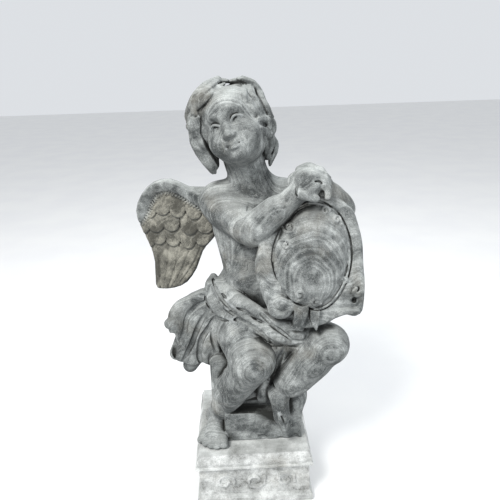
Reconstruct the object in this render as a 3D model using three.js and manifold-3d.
// Seated winged putto leaning on an oval cartouche, carved from one block of stone,
// on a separate moulded plinth. Millimetres, +Z up, front of the figure towards -Y.
// The origin is the middle of the plinth's underside.
import * as THREE from "three";
import { mergeVertices } from "three/addons/utils/BufferGeometryUtils.js";
import { RoundedBoxGeometry } from "three/addons/geometries/RoundedBoxGeometry.js";
import Module from "manifold-3d";

const wasm = await Module();
wasm.setup();

// ---- driving sizes ----
const PLINTH_HALF = 150;        // half width of the plinth at its widest members
const PLINTH_TOP = 150;         // height of the plinth
const JOINT_GAP = 0.3;          // bed joint between the figure's base and the plinth
const HEAD_TURN = [-13, -24, -17]; // head: lifted, rolled to its right, turned to its right (degrees)
const FIGURE_FACETS = 8200;     // facets kept on the figure

// ---- small vector and frame helpers ----
const v3 = (a) => new THREE.Vector3(a[0], a[1], a[2]);
const turn = (r) => new THREE.Matrix4().makeRotationFromEuler(
  new THREE.Euler(...r.map((d) => THREE.MathUtils.degToRad(d)), "ZXY"));

// three.js geometry -> closed solid
function solid(geometry) {
  const g = geometry.index || geometry.attributes.position ? geometry.clone() : geometry;
  for (const name of Object.keys(g.attributes)) if (name !== "position") g.deleteAttribute(name);
  g.clearGroups();
  const m = mergeVertices(g, 1e-3);
  const pos = m.attributes.position, idx = m.index.array, tri = [];
  for (let i = 0; i < idx.length; i += 3) {
    const [a, b, c] = [idx[i], idx[i + 1], idx[i + 2]];
    if (a !== b && b !== c && a !== c) tri.push(a, b, c);
  }
  return new wasm.Manifold(new wasm.Mesh({
    numProp: 3, vertProperties: new Float32Array(pos.array), triVerts: new Uint32Array(tri) }));
}

const rounds = (r) => (r > 60 ? 20 : r > 30 ? 14 : r > 16 ? 10 : 8);

// ---- carving shapes ----
function ball(c, r) {
  return solid(new THREE.SphereGeometry(r, rounds(r), Math.round(rounds(r) * 0.55)).translate(...c));
}

// ellipsoid with semi-axes r, turned by rot degrees
function ell(c, r, rot = [0, 0, 0]) {
  const n = rounds(Math.max(...r));
  return solid(new THREE.SphereGeometry(1, n, Math.round(n * 0.55)).rotateX(Math.PI / 2)
    .scale(...r).applyMatrix4(turn(rot)).translate(...c));
}

// limb: a turned profile of two balls and the cone that touches both
function cone(a, b, ra, rb) {
  const A = v3(a), B = v3(b), L = A.distanceTo(B);
  if (L <= Math.abs(ra - rb) + 1e-3) return ra > rb ? ball(a, ra) : ball(b, rb);
  const phi = Math.asin((ra - rb) / L), n = rounds(Math.max(ra, rb)), caps = n > 8 ? 3 : 2;
  const profile = [];
  for (let i = 0; i <= caps; i++) {
    const t = THREE.MathUtils.lerp(-Math.PI / 2, phi, i / caps);
    profile.push(new THREE.Vector2(i === 0 ? 0 : ra * Math.cos(t), ra * Math.sin(t)));
  }
  for (let i = 0; i <= caps; i++) {
    const t = THREE.MathUtils.lerp(phi, Math.PI / 2, i / caps);
    profile.push(new THREE.Vector2(i === caps ? 0 : rb * Math.cos(t), L + rb * Math.sin(t)));
  }
  const q = new THREE.Quaternion().setFromUnitVectors(new THREE.Vector3(0, 1, 0), B.clone().sub(A).normalize());
  return solid(new THREE.LatheGeometry(profile, n).applyQuaternion(q).translate(...a));
}

// block with rounded edges
function box(c, h, rd = 0, rot = [0, 0, 0]) {
  const size = h.map((s) => 2 * s);
  const g = rd > 3 ? new RoundedBoxGeometry(...size, 2, rd) : new THREE.BoxGeometry(...size);
  return solid(g.applyMatrix4(turn(rot)).translate(...c));
}

// strand, finger or fold: a round bar that follows a curve, with round ends.
// flat = [scale, direction] presses it flatter along a direction.
function path(pts, radii, n = 3, flat = null) {
  const curve = new THREE.CatmullRomCurve3(pts.map(v3), false, "catmullrom", 0.5);
  const steps = Math.max(2, (pts.length - 1) * n);
  const rMax = Math.max(...radii), sides = rMax > 26 ? 12 : rMax > 12 ? 8 : 6;
  const at = (t) => {
    const x = t * (radii.length - 1), i = Math.min(Math.floor(x), radii.length - 2);
    return radii.length < 2 ? radii[0] : THREE.MathUtils.lerp(radii[i], radii[i + 1], x - i);
  };
  const frames = curve.computeFrenetFrames(steps, false);
  const rings = [];                       // centre, radius, frame number
  for (const k of [0, 0.6]) rings.push([0, -Math.cos(k * Math.PI / 2), Math.sin(k * Math.PI / 2)]);
  for (let i = 0; i <= steps; i++) rings.push([i, 0, 1]);
  for (const k of [0.6, 0]) rings.push([steps, Math.cos(k * Math.PI / 2), Math.sin(k * Math.PI / 2)]);
  const profile = rings.map((r, j) => new THREE.Vector2(r[2], j));
  const g = new THREE.LatheGeometry(profile, sides);
  const pos = g.attributes.position, f = flat && v3(flat[1]).normalize();
  for (let i = 0; i < pos.count; i++) {
    const [k, push, round] = rings[Math.round(pos.getY(i))];
    const r = at(k / steps), c = curve.getPoint(k / steps);
    const off = frames.tangents[k].clone().multiplyScalar(push * r)
      .addScaledVector(frames.normals[k], pos.getX(i) * r)
      .addScaledVector(frames.binormals[k], -pos.getZ(i) * r);
    if (f) off.addScaledVector(f, (flat[0] - 1) * off.dot(f));
    c.add(off);
    pos.setXYZ(i, c.x, c.y, c.z);
  }
  const s = solid(g);
  return s.volume() < 0 ? solid(flip(g)) : s;
}
function flip(g) {
  const a = g.index.array;
  for (let i = 0; i < a.length; i += 3) [a[i], a[i + 1]] = [a[i + 1], a[i]];
  return g;
}

// smooth closed outline through a few control points
function loop2(pts, n = 2) {
  const c = new THREE.CatmullRomCurve3(pts.map((p) => new THREE.Vector3(p[0], p[1], 0)), true, "catmullrom", 0.5);
  return Array.from({ length: pts.length * n }, (_, i) => {
    const p = c.getPoint(i / (pts.length * n));
    return [p.x, p.y];
  });
}

// frame of a plate: origin O, right U, up V
function plane(O, U, V) {
  const u = v3(U).normalize(), v = v3(V);
  v.addScaledVector(u, -v.dot(u)).normalize();
  return new THREE.Matrix4().makeBasis(u, v, u.clone().cross(v)).setPosition(...O);
}
const at = (O, U, V, a, b, c) => new THREE.Vector3(a, b, c).applyMatrix4(plane(O, U, V)).toArray();

// plate of a given outline with softened edges
function slab(pts, O, U, V, half, rd = 4) {
  const shape = new THREE.Shape(pts.map((p) => new THREE.Vector2(p[0], p[1])));
  const g = new THREE.ExtrudeGeometry(shape, { depth: 2 * (half - rd), steps: 1, bevelEnabled: true,
    bevelThickness: rd, bevelSize: rd, bevelOffset: -rd, bevelSegments: 1 });
  return solid(g.translate(0, 0, rd - half).applyMatrix4(plane(O, U, V)));
}

// a group of shapes carved as one mass
class Mass {
  constructor() { this.body = null; }
  add(s) { this.body = this.body ? this.body.add(s) : s; return this; }
  cut(s) { this.body = this.body.subtract(s); return this; }
}

// ---- facet thinning: collapses the edges that change the surface least ----
function thin(body, target) {
  const m = body.getMesh(), nv = m.numVert, V = new Float64Array(nv * 3);
  for (let i = 0; i < nv; i++) for (let k = 0; k < 3; k++) V[3 * i + k] = m.vertProperties[i * m.numProp + k];
  const T = Array.from(m.triVerts), nt = T.length / 3, alive = new Uint8Array(nt).fill(1);
  const fans = Array.from({ length: nv }, () => new Set());
  const Q = new Float64Array(nv * 10), stamp = new Int32Array(nv), dead = new Uint8Array(nv);
  const normal = (a, b, c) => {
    const ux = V[3 * b] - V[3 * a], uy = V[3 * b + 1] - V[3 * a + 1], uz = V[3 * b + 2] - V[3 * a + 2];
    const wx = V[3 * c] - V[3 * a], wy = V[3 * c + 1] - V[3 * a + 1], wz = V[3 * c + 2] - V[3 * a + 2];
    return [uy * wz - uz * wy, uz * wx - ux * wz, ux * wy - uy * wx];
  };
  for (let t = 0; t < nt; t++) {
    const [a, b, c] = [T[3 * t], T[3 * t + 1], T[3 * t + 2]];
    for (const v of [a, b, c]) fans[v].add(t);
    const n = normal(a, b, c), s = Math.hypot(...n);
    if (s < 1e-9) continue;
    const [x, y, z] = n.map((q) => q / s), d = -(x * V[3 * a] + y * V[3 * a + 1] + z * V[3 * a + 2]);
    const q = [x * x, x * y, x * z, x * d, y * y, y * z, y * d, z * z, z * d, d * d];
    for (const v of [a, b, c]) for (let k = 0; k < 10; k++) Q[10 * v + k] += q[k] * s;
  }
  const error = (q, x, y, z) => q[0] * x * x + 2 * q[1] * x * y + 2 * q[2] * x * z + 2 * q[3] * x + q[4] * y * y
    + 2 * q[5] * y * z + 2 * q[6] * y + q[7] * z * z + 2 * q[8] * z + q[9];
  const plan = (u, v) => {
    const q = Array.from({ length: 10 }, (_, k) => Q[10 * u + k] + Q[10 * v + k]);
    const spots = [0, 1, 0.5].map((t) => [0, 1, 2].map((k) => V[3 * u + k] * (1 - t) + V[3 * v + k] * t));
    const [a, b, c, d, e, f, g, h, i] = q;
    const det = a * (e * h - f * f) - b * (b * h - f * c) + c * (b * f - e * c);
    if (Math.abs(det) > 1e-3 * Math.pow((a + e + h) / 3, 3)) {
      const x = -(d * (e * h - f * f) - b * (g * h - f * i) + c * (g * f - e * i)) / det;
      const y = -(a * (g * h - i * f) - d * (b * h - f * c) + c * (b * i - g * c)) / det;
      const z = -(a * (e * i - f * g) - b * (b * i - g * c) + d * (b * f - e * c)) / det;
      const l = Math.hypot(V[3 * u] - V[3 * v], V[3 * u + 1] - V[3 * v + 1], V[3 * u + 2] - V[3 * v + 2]);
      if (Math.hypot(x - spots[2][0], y - spots[2][1], z - spots[2][2]) < l) spots.push([x, y, z]);
    }
    let best = null;
    for (const p of spots) { const w = error(q, ...p); if (!best || w < best[0]) best = [w, p]; }
    const l2 = [0, 1, 2].reduce((s, k) => s + (V[3 * u + k] - V[3 * v + k]) ** 2, 0);
    return [Math.max(best[0], 0) + 0.002 * l2, best[1]];
  };
  const heap = [];
  const push = (u, v) => {
    const [w, p] = plan(u, v);
    heap.push([w, u, v, stamp[u], stamp[v], p]);
    let i = heap.length - 1;
    while (i > 0) { const j = (i - 1) >> 1; if (heap[j][0] <= heap[i][0]) break; [heap[i], heap[j]] = [heap[j], heap[i]]; i = j; }
  };
  const pop = () => {
    const top = heap[0], last = heap.pop();
    if (heap.length) {
      heap[0] = last;
      for (let i = 0;;) {
        let j = 2 * i + 1; if (j >= heap.length) break;
        if (j + 1 < heap.length && heap[j + 1][0] < heap[j][0]) j++;
        if (heap[i][0] <= heap[j][0]) break;
        [heap[i], heap[j]] = [heap[j], heap[i]]; i = j;
      }
    }
    return top;
  };
  const ring = (v) => { const s = new Set(); for (const t of fans[v]) for (let k = 0; k < 3; k++) if (T[3 * t + k] !== v) s.add(T[3 * t + k]); return s; };
  for (let v = 0; v < nv; v++) for (const w of ring(v)) if (w > v) push(v, w);
  let left = nt;
  while (left > target && heap.length) {
    const [, u, v, su, sv, p] = pop();
    if (dead[u] || dead[v] || stamp[u] !== su || stamp[v] !== sv) continue;
    const ru = ring(u), shared = [...ring(v)].filter((w) => ru.has(w));
    if (shared.length !== 2) continue;
    let ok = true;
    const test = (c, other) => {
      for (const t of fans[c]) {
        const tri = [T[3 * t], T[3 * t + 1], T[3 * t + 2]];
        if (tri.includes(other)) continue;
        const n0 = normal(...tri), keep = [V[3 * c], V[3 * c + 1], V[3 * c + 2]];
        for (let k = 0; k < 3; k++) V[3 * c + k] = p[k];
        const n1 = normal(...tri);
        for (let k = 0; k < 3; k++) V[3 * c + k] = keep[k];
        const l0 = Math.hypot(...n0), l1 = Math.hypot(...n1);
        if (l1 < 0.05 || n0[0] * n1[0] + n0[1] * n1[1] + n0[2] * n1[2] < 0.35 * l0 * l1) { ok = false; return; }
      }
    };
    test(u, v); if (ok) test(v, u);
    if (!ok) continue;
    for (const t of [...fans[v]]) {
      const tri = [T[3 * t], T[3 * t + 1], T[3 * t + 2]];
      if (tri.includes(u)) { alive[t] = 0; left--; for (const w of tri) fans[w].delete(t); continue; }
      for (let k = 0; k < 3; k++) if (T[3 * t + k] === v) T[3 * t + k] = u;
      fans[u].add(t);
    }
    dead[v] = 1; fans[v].clear();
    for (let k = 0; k < 3; k++) V[3 * u + k] = p[k];
    for (let k = 0; k < 10; k++) Q[10 * u + k] += Q[10 * v + k];
    stamp[u]++;
    for (const w of ring(u)) push(u, w);
  }
  const index = new Map(), pos = [], tri = [];
  for (let t = 0; t < nt; t++) if (alive[t]) for (let k = 0; k < 3; k++) {
    const v = T[3 * t + k];
    if (!index.has(v)) { index.set(v, index.size); pos.push(V[3 * v], V[3 * v + 1], V[3 * v + 2]); }
    tri.push(index.get(v));
  }
  return new wasm.Manifold(new wasm.Mesh({ numProp: 3, vertProperties: new Float32Array(pos), triVerts: new Uint32Array(tri) }));
}

// ---- joints and centres of the figure, mm ----
const J = {
  pelvis: [28, 34, 428], hipR: [-24, 26, 432], hipL: [82, 26, 434],
  kneeR: [10, -112, 402], kneeL: [186, -122, 448],
  ankR: [-88, -42, 205], ankL: [68, -98, 300],
  chest: [14, 22, 710], shR: [-58, 22, 768], shL: [104, 32, 772],
  elR: [20, -72, 716], wrR: [116, -96, 812],
  elL: [226, -30, 752], wrL: [176, -66, 816],
  neck: [22, 26, 800], skull: [-4, 12, 890], head: [-17, 2, 948],
};
// a point given in the head's own frame: right, back, up
const HR = HEAD_TURN;
const hd = (x, y, z) => new THREE.Vector3(x, y, z).applyMatrix4(turn(HR)).add(v3(J.head)).toArray();

// trunk, shoulders and neck
const torso = new Mass();
torso.add(ell(J.pelvis, [88, 74, 62]));
torso.add(ell([22, 10, 560], [82, 70, 86]));
torso.add(ell([18, 20, 640], [82, 60, 70]));
torso.add(ell(J.chest, [94, 62, 80]));
torso.add(cone([-2, 8, 742], [34, 8, 742], 50, 50));
torso.add(cone(J.neck, J.skull, 48, 46));
torso.add(cone([14, 36, 806], J.shR, 34, 38));
torso.add(cone([30, 36, 806], J.shL, 34, 36));
torso.add(ball(J.shR, 46));
torso.add(ball(J.shL, 42));
torso.add(cone(J.shR, [-18, -24, 742], 44, 42));

// right arm, folded across the chest to the top of the shield
const arm_R = new Mass();
arm_R.add(cone(J.shR, J.elR, 45, 36));
arm_R.add(cone([-48, -2, 754], [-2, -44, 726], 46, 41));

const forearm_R = new Mass();
forearm_R.add(cone(J.elR, J.wrR, 32, 24));
forearm_R.add(cone([30, -76, 736], [64, -86, 768], 37, 32));

// left arm, reaching round behind the shield
const arm_L = new Mass();
arm_L.add(cone(J.shL, J.elL, 40, 30));
arm_L.add(cone(J.elL, J.wrL, 29, 23));
arm_L.add(cone([214, -38, 768], [198, -50, 788], 31, 28));

// right leg, its foot on the plinth
const leg_R = new Mass();
leg_R.add(cone(J.hipR, J.kneeR, 68, 47));
leg_R.add(ball(J.kneeR, 46));
leg_R.add(cone(J.kneeR, J.ankR, 42, 23));
leg_R.add(cone([-4, -98, 380], [-56, -66, 290], 44, 37));
leg_R.add(cone([-56, -66, 290], [-84, -46, 218], 35, 26));
leg_R.add(cone([-14, -40, 428], [4, -96, 410], 58, 50));

// left leg, bent back against the rock
const leg_L = new Mass();
leg_L.add(cone(J.hipL, J.kneeL, 68, 48));
leg_L.add(ball(J.kneeL, 46));
leg_L.add(cone(J.kneeL, [112, -104, 352], 42, 42));
leg_L.add(cone([150, -112, 402], [100, -100, 338], 45, 38));
leg_L.add(cone([100, -100, 338], [72, -98, 306], 34, 25));

// feet
const foot_R = new Mass();
foot_R.add(cone(J.ankR, [-102, -12, 176], 25, 25));
foot_R.add(cone(J.ankR, [-108, -84, 170], 25, 19));
foot_R.add(cone([-92, -24, 178], [-86, -84, 168], 25, 18));
foot_R.add(cone([-84, -76, 168], [-77, -112, 162.5], 15, 12.5));
foot_R.add(cone([-96, -80, 168], [-95, -116, 159.5], 12.5, 9.5));
foot_R.add(cone([-106, -78, 168], [-110, -112, 159.5], 12.5, 9.5));
foot_R.add(cone([-114, -70, 168], [-124, -103, 159.5], 12.5, 9.5));
foot_R.add(cone([-121, -58, 168], [-137, -90, 159.5], 12.5, 9.5));

const foot_L = new Mass();
foot_L.add(cone(J.ankL, [74, -76, 290], 25, 24));
foot_L.add(cone(J.ankL, [74, -112, 240], 25, 20));
foot_L.add(cone([74, -112, 240], [78, -118, 206], 19, 9));

// right hand laid over the left
const hand_R = new Mass();
hand_R.add(cone(J.wrR, [142, -102, 826], 23, 25));
hand_R.add(ell([138, -102, 824], [30, 18, 24], [0, -30, 0]));
hand_R.add(path([[158, -112, 834], [176, -116, 826], [176, -120, 806]], [11, 10, 8], 3));
hand_R.add(path([[160, -98, 837], [178, -102, 829], [178, -106, 809]], [11, 10, 8], 3));
hand_R.add(path([[162, -84, 840], [180, -88, 832], [180, -92, 812]], [11, 10, 8], 3));
hand_R.add(path([[164, -70, 843], [182, -74, 835], [182, -78, 815]], [11, 10, 8], 3));
hand_R.add(cone([126, -118, 812], [150, -124, 804], 12, 9));

const hand_L = new Mass();
hand_L.add(cone(J.wrL, [160, -72, 842], 24, 22));
hand_L.add(cone([160, -72, 842], [140, -78, 842], 20, 15));

// head, with a plain child's face
const head = new Mass();
head.add(ell(hd(0, 8, 12), [73, 80, 78], HR));
head.add(ell(hd(0, -14, -36), [64, 62, 58], HR));
head.add(ell(hd(0, -52, -66), [22, 20, 18], HR));
head.add(cone(hd(0, -72, -10), hd(0, -86, -34), 7, 9.5));
head.add(ell(hd(0, -74, -50), [17, 9, 7], HR));
head.add(ell(hd(-26, -62, -8), [14, 9, 8], HR));
head.add(ell(hd(26, -62, -8), [14, 9, 8], HR));
head.add(ell(hd(-34, -46, -40), [28, 26, 26], HR));
head.add(ell(hd(34, -46, -40), [28, 26, 26], HR));

// cap of hair, parted above the brow, with side locks
const hair = new Mass();
hair.add(ell(hd(-2, 16, 14), [88, 86, 78], HR));
hair.add(path([[-98, 6, 990], [-104, 6, 950], [-88, 2, 895], [-70, 0, 852]], [22, 22, 18, 11], 3));
hair.add(path([[40, 10, 1000], [60, 18, 965], [63, 20, 922], [52, 20, 872]], [20, 22, 20, 11], 3));
hair.cut(ell(hd(2, -66, -26), [60, 58, 86], HR));
hair.add(path([hd(6, -58, 72), hd(-34, -62, 62), hd(-64, -44, 34), hd(-78, -30, 0)], [12, 15, 14, 10], 3));
hair.add(path([hd(6, -58, 72), hd(38, -60, 62), hd(62, -42, 34), hd(76, -26, 0)], [12, 15, 14, 10], 3));
hair.add(path([hd(-10, -30, 92), hd(-56, -26, 76), hd(-84, -10, 30)], [12, 14, 12], 3));
hair.add(path([hd(20, -30, 90), hd(58, -24, 72), hd(82, -8, 30)], [12, 14, 12], 3));

// squared block and rounded rock under the figure
const seat = new Mass();
seat.add(box([28, 10, 192.5], [100, 100, 42.5], 3));
seat.add(box([0, 24, 290], [104, 84, 92], 22));
seat.add(ell([112, -52, 262], [34, 44, 46]));

// cloth over the lap, and its end flying out at the right hip
const cloth = new Mass();
cloth.add(ell([26, 26, 470], [98, 84, 78]));
cloth.add(cone([-6, 14, 585], [-58, 10, 508], 50, 48));
cloth.add(cone([-26, 24, 440], [-8, -46, 444], 76, 64));
cloth.add(cone([84, 20, 440], [134, -62, 454], 74, 64));
cloth.add(cone([20, -40, 450], [90, -50, 455], 50, 50));
cloth.add(path([[-70, -10, 560], [-30, -62, 510], [40, -106, 480], [120, -120, 476]], [20, 18, 15, 12], 3));
cloth.add(path([[-40, -40, 560], [10, -84, 530], [70, -110, 505], [120, -120, 500]], [14, 15, 12, 10], 3));
cloth.add(path([[66, -96, 458], [58, -84, 400], [40, -76, 330], [30, -72, 270]], [26, 26, 22, 16], 3, [0.7, [0, 1, 0]]));
cloth.add(path([[92, -92, 452], [80, -80, 390], [70, -74, 330]], [20, 20, 16], 3));

const tail_line = loop2([[-20, 540], [20, 545], [60, 520], [92, 490], [105, 455], [104, 440], [92, 436], [86, 400], [88, 368], [78, 350], [52, 338], [30, 344], [8, 340], [-30, 345], [-40, 400], [-34, 470]], 2);
const tail = new Mass();
tail.add(path([[-70, 14, 520], [-130, 22, 498], [-206, 26, 442]], [34, 34, 16], 3, [0.8, [0, 1, 0]]));
tail.add(path([[-70, 10, 500], [-140, 14, 440], [-194, 22, 356]], [38, 36, 20], 3));
tail.add(path([[-70, 4, 480], [-120, 6, 400], [-160, 14, 322]], [36, 34, 20], 3));
tail.add(path([[-70, 0, 440], [-104, 0, 380], [-100, 2, 350]], [36, 30, 22], 3));
tail.add(slab(tail_line, [-100, 2, 0], [-1, -0.12, 0], [0, 0, 1], 12, 3));
tail.cut(path([[-222, -2, 420], [-202, 6, 392], [-196, 12, 352]], [11, 13, 7], 3));

const wing_line = loop2([[-30, 745], [-17, 772], [12, 784], [50, 799], [90, 815], [131, 808], [166, 777], [184, 735], [179, 690], [160, 640], [151, 590], [155, 525], [141, 511], [99, 516], [63, 535], [34, 576], [14, 625], [-8, 652], [-34, 690]], 2);
const WO = [-96, 70, 0];
// wings: a flat plate with a thick leading edge
const wing_R = new Mass();
wing_R.add(slab(wing_line, WO, [-1, 0.222, 0], [0, 0, 1], 13, 6));
wing_R.add(path([[-60, 66, 748], [-110, 76, 786], [-180, 92, 790], [-244, 104, 758], [-262, 108, 715]], [26, 22, 19, 18, 14], 3, [0.8, [0.2, -1, 0]]));

const LO = [92, 62, -36];
const wing_L = new Mass();
wing_L.add(slab(wing_line, LO, [0.42, 0.91, 0], [0, 0, 1], 13, 6));
wing_L.add(path([[80, 56, 722], [106, 94, 738], [138, 162, 746], [160, 212, 716], [170, 234, 676]], [24, 20, 18, 17, 13], 3, [0.8, [0.9, -0.4, 0]]));

const SO = [141, -98, 672];
const SU = [1, 0, 0];
const SV = [0, 0.208, 0.978];
const plate_line = loop2([[-111, 8], [-120, -10], [-122, -30], [-118, -56], [-108, -88], [-95, -122], [-79, -137], [-59, -146], [-40, -151], [-25, -172], [6, -174], [48, -160], [76, -144], [104, -149], [120, -138], [126, -80], [123, -35], [122, -7], [120, 24], [110, 63], [98, 96], [60, 124], [10, 134], [-50, 122], [-92, 84]], 2);
// oval shield with its scrolled border
const shield = new Mass();
shield.add(slab(plate_line, SO, SU, SV, 13, 5));
shield.add(ell(at(SO, SU, SV, 10, -8, 4), [90, 46, 122], [-12, 10, 0]));
shield.add(path([at(SO, SU, SV, -96, -118, 6), at(SO, SU, SV, -84, -136, 10), at(SO, SU, SV, -60, -134, 14), at(SO, SU, SV, -52, -114, 14), at(SO, SU, SV, -66, -102, 13)], [12, 13, 13, 11, 9], 3));
shield.add(path([at(SO, SU, SV, -30, -120, 12), at(SO, SU, SV, -28, -150, 15), at(SO, SU, SV, -24, -170, 10)], [13, 14, 9], 3));
shield.add(path([at(SO, SU, SV, 0, -138, 10), at(SO, SU, SV, 6, -160, 14), at(SO, SU, SV, 10, -174, 11)], [10, 11, 8], 3));
shield.add(path([at(SO, SU, SV, 92, -120, 8), at(SO, SU, SV, 112, -128, 10), at(SO, SU, SV, 118, -106, 12), at(SO, SU, SV, 104, -94, 12)], [10, 11, 10, 8], 3));
shield.add(ell(at(SO, SU, SV, -38, 62, 14), [11, 8, 11]));
shield.add(ell(at(SO, SU, SV, -52, 24, 14), [11, 8, 11]));

const masses = [torso, arm_R, forearm_R, arm_L, leg_R, leg_L, foot_R, foot_L, hand_R, hand_L, head, hair, seat, cloth, tail, wing_R, wing_L, shield];

// ---- plinth: a square turned profile, then its carved scrolls ----
const square = (profile) => solid(new THREE.LatheGeometry(
  profile.map(([r, z]) => new THREE.Vector2(r * Math.SQRT2, z)), 4).rotateX(Math.PI / 2)
  .rotateZ(Math.PI / 4));
let plinth = square([[0, 0], [PLINTH_HALF - 1, 0], [PLINTH_HALF, 3], [PLINTH_HALF, 17], [PLINTH_HALF - 4, 21],
  [PLINTH_HALF - 9, 25], [PLINTH_HALF - 9, 106], [PLINTH_HALF - 3, 110], [PLINTH_HALF, 112], [PLINTH_HALF, 117],
  [PLINTH_HALF - 3, 119], [PLINTH_HALF - 2, 128], [PLINTH_HALF - 6, 140], [PLINTH_HALF - 9, 146],
  [PLINTH_HALF - 10, PLINTH_TOP], [0, PLINTH_TOP]]);
// paired volutes linked by a stem on each side
const spiral = (cx, cz, dir, r0, turns, start) => Array.from({ length: turns * 7 + 1 }, (_, i) => {
  const t = i / 7, a = start + dir * t * 2 * Math.PI, r = r0 * (1 - 0.6 * t / turns);
  return [cx + r * Math.cos(a), cz + r * Math.sin(a)];
});
for (let side = 0; side < 4; side++) {
  const face = (p) => [p[0], -(PLINTH_HALF - 8.5), p[1]];
  for (const [cx, dir] of [[-78, 1], [0, -1], [78, 1]]) {
    const pts = spiral(cx, 68, dir, 27, 1, -0.4 * dir).map(face);
    plinth = plinth.add(path(pts, [6, 7, 5], 1).rotate([0, 0, side * 90]));
  }
}

// ---- the figure: every mass joined, then bedded flat on the plinth ----
let figure = masses.map((m) => m.body).reduce((a, b) => a.add(b));
const bed = new THREE.BoxGeometry(800, 800, 400).translate(0, 0, PLINTH_TOP + JOINT_GAP - 200);
figure = thin(figure.subtract(solid(bed)), FIGURE_FACETS).subtract(solid(bed));

function mesh(name, body, material) {
  const m = body.getMesh();
  const g = new THREE.BufferGeometry();
  const p = new Float32Array(m.numVert * 3);
  for (let i = 0; i < m.numVert; i++) for (let k = 0; k < 3; k++) p[3 * i + k] = m.vertProperties[i * m.numProp + k];
  g.setAttribute("position", new THREE.BufferAttribute(p, 3));
  g.setIndex(Array.from(m.triVerts));
  g.computeVertexNormals();
  const out = new THREE.Mesh(g, material);
  out.name = name;
  return out;
}
const stone = new THREE.MeshStandardMaterial({ color: 0x8b9092, roughness: 0.92, metalness: 0 });
const plinthStone = new THREE.MeshStandardMaterial({ color: 0x9a9b95, roughness: 0.94, metalness: 0 });

const statue = new THREE.Group();
statue.add(mesh("putto_figure", figure, stone));
statue.add(mesh("plinth", plinth, plinthStone));
export default statue;
